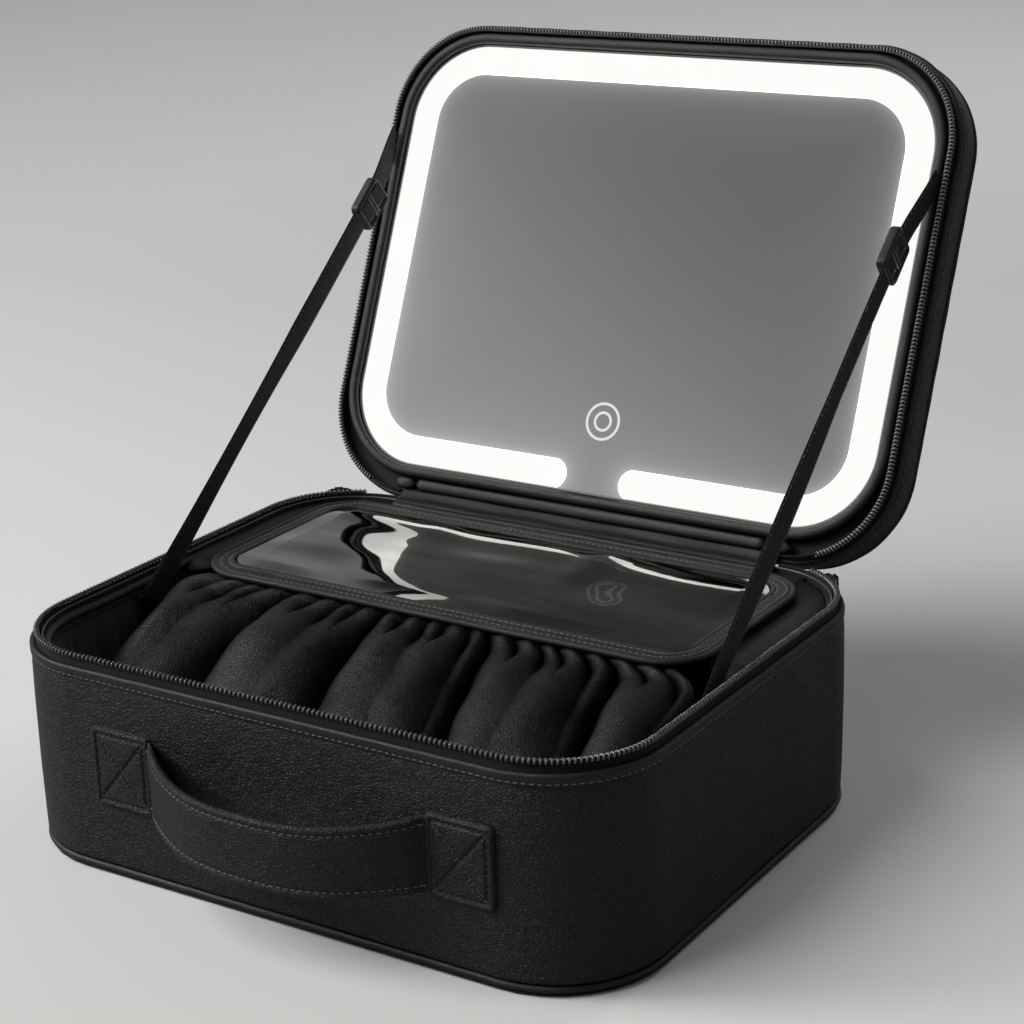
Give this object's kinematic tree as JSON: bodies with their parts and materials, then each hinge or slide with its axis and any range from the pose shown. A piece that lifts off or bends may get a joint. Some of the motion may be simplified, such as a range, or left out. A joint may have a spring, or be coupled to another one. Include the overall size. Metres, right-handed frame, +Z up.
{
  "type": "vanity case with lighted mirror",
  "caption": "Zip-around leather vanity case whose hinged lid holds a mirror framed by a lit band; a clear-window flap with a gathered skirt covers the divided tray.",
  "frame": {"origin": "centre of the flat underside of the base", "axes": "+X to the case's right, -Y to the front (handle side), +Z up"},
  "size_m": [0.26, 0.3327, 0.2683],
  "materials": {
    "case_leather": "pebbled black synthetic leather, semi-matt",
    "stiffener_card": "plain stiffener board",
    "lining_cloth": "fine black lining cloth",
    "zip_tape_cloth": "woven black zip tape",
    "zip_coil_nylon": "black nylon coil, slight sheen",
    "webbing": "ribbed black webbing",
    "buckle_nylon": "moulded black nylon, satin",
    "clear_film": "clear soft film, very glossy",
    "mirror_silver": "polished",
    "light_acrylic": "frosted, lit from behind",
    "tray_plastic": "moulded tray",
    "circuit_board": "circuit board",
    "sensor_pad": "touch electrode",
    "cell_wrap": "cell wrap",
    "port_steel": "plain",
    "wire_sheath": "wire insulation",
    "foam": "closed-cell foam",
    "slider_metal": "black painted zinc"
  },
  "bodies": {
    "base": {"base_underside": "case_leather", "base_bottom_piping": "case_leather", "base_floor_board": "stiffener_card", "base_wall": "case_leather", "base_top_piping": "case_leather", "base_zip_tape": "zip_tape_cloth", "base_zip_coil": "zip_coil_nylon", "base_lining_wall": "lining_cloth", "base_lining_floor": "lining_cloth", "base_inner_binding": "lining_cloth", "base_rim_roll": "case_leather", "floor_pad": "lining_cloth", "divider_long": "lining_cloth", "handle_patch_left": "case_leather", "handle_patch_right": "case_leather", "flap_hinge_tape": "case_leather", "strap_tab_base_left": "webbing", "strap_tab_base_right": "webbing", "strap_left": "webbing", "strap_right": "webbing", "hinge_gusset": "case_leather"},
    "lid": {"lid_zip_coil": "zip_coil_nylon", "lid_zip_tape": "zip_tape_cloth", "lid_piping": "case_leather", "lid_wall": "case_leather", "lid_back_piping": "case_leather", "lid_back_panel": "case_leather", "lid_back_board": "stiffener_card", "mirror_mount_foam": "foam", "mirror_bezel": "case_leather", "lid_hinge_rib": "case_leather", "mirror_tray": "tray_plastic", "light_diffuser": "light_acrylic", "mirror_glass": "mirror_silver", "led_strip": "circuit_board", "control_board": "circuit_board", "touch_sensor": "sensor_pad", "battery_cell": "cell_wrap", "charge_port": "port_steel", "battery_lead": "wire_sheath", "led_lead": "wire_sheath", "port_lead": "wire_sheath", "strap_tab_lid_left": "webbing", "strap_tab_lid_right": "webbing"},
    "flap": {"flap_board": "lining_cloth", "flap_frame": "case_leather", "flap_window": "clear_film", "flap_binding": "case_leather", "gathered_skirt": "case_leather"},
    "handle": {"handle_strap": "case_leather"},
    "left_buckle": {"buckle_left": "buckle_nylon"},
    "right_buckle": {"buckle_right": "buckle_nylon"},
    "left_slider": {"zip_slider_left": "slider_metal"},
    "right_slider": {"zip_slider_right": "slider_metal"},
    "left_pull": {"zip_pull_left": "slider_metal"},
    "right_pull": {"zip_pull_right": "slider_metal"},
    "left_divider": {"divider_left": "lining_cloth"},
    "right_divider": {"divider_right": "lining_cloth"}
  },
  "joints": [
    {"name": "lid_hinge", "type": "hinge", "parent": "base", "child": "lid", "pos_m": [0, 0.0995, 0.08415], "axis": [-1, 0, 0], "range_deg": [-113.8, 0], "deforming": ["strap_left", "strap_right", "hinge_gusset"]},
    {"name": "flap_hinge", "type": "hinge", "parent": "base", "child": "flap", "pos_m": [0, 0.0882, 0.0814], "axis": [-1, 0, 0], "range_deg": [0, 80]},
    {"name": "handle_flex", "type": "hinge", "parent": "base", "child": "handle", "pos_m": [0.006, -0.105, 0.044], "axis": [1, 0, 0], "range_deg": [-15, 15]},
    {"name": "left_buckle_slide", "type": "slide", "parent": "lid", "child": "left_buckle", "axis": [0, -0.7721, -0.6355], "range_m": [-0.012, 0.04]},
    {"name": "right_buckle_slide", "type": "slide", "parent": "lid", "child": "right_buckle", "axis": [0, -0.7721, -0.6355], "range_m": [-0.012, 0.04]},
    {"name": "left_slider_travel", "type": "hinge", "parent": "base", "child": "left_slider", "pos_m": [-0.089, 0.063, 0.08415], "axis": [0, 0, -1], "range_deg": [-40, 0]},
    {"name": "right_slider_travel", "type": "hinge", "parent": "base", "child": "right_slider", "pos_m": [0.089, 0.063, 0.08415], "axis": [0, 0, 1], "range_deg": [-40, 0]},
    {"name": "left_pull_swing", "type": "hinge", "parent": "left_slider", "child": "left_pull", "pos_m": [-0.11577, 0.09491, 0.0834], "axis": [0.766, 0.6428, 0], "range_deg": [0, 95]},
    {"name": "right_pull_swing", "type": "hinge", "parent": "right_slider", "child": "right_pull", "pos_m": [0.11577, 0.09491, 0.0834], "axis": [0.766, -0.6428, 0], "range_deg": [0, 95]},
    {"name": "left_divider_slide", "type": "slide", "parent": "base", "child": "left_divider", "axis": [1, 0, 0], "range_m": [-0.02, 0.02]},
    {"name": "right_divider_slide", "type": "slide", "parent": "base", "child": "right_divider", "axis": [1, 0, 0], "range_m": [-0.02, 0.02]}
  ]
}
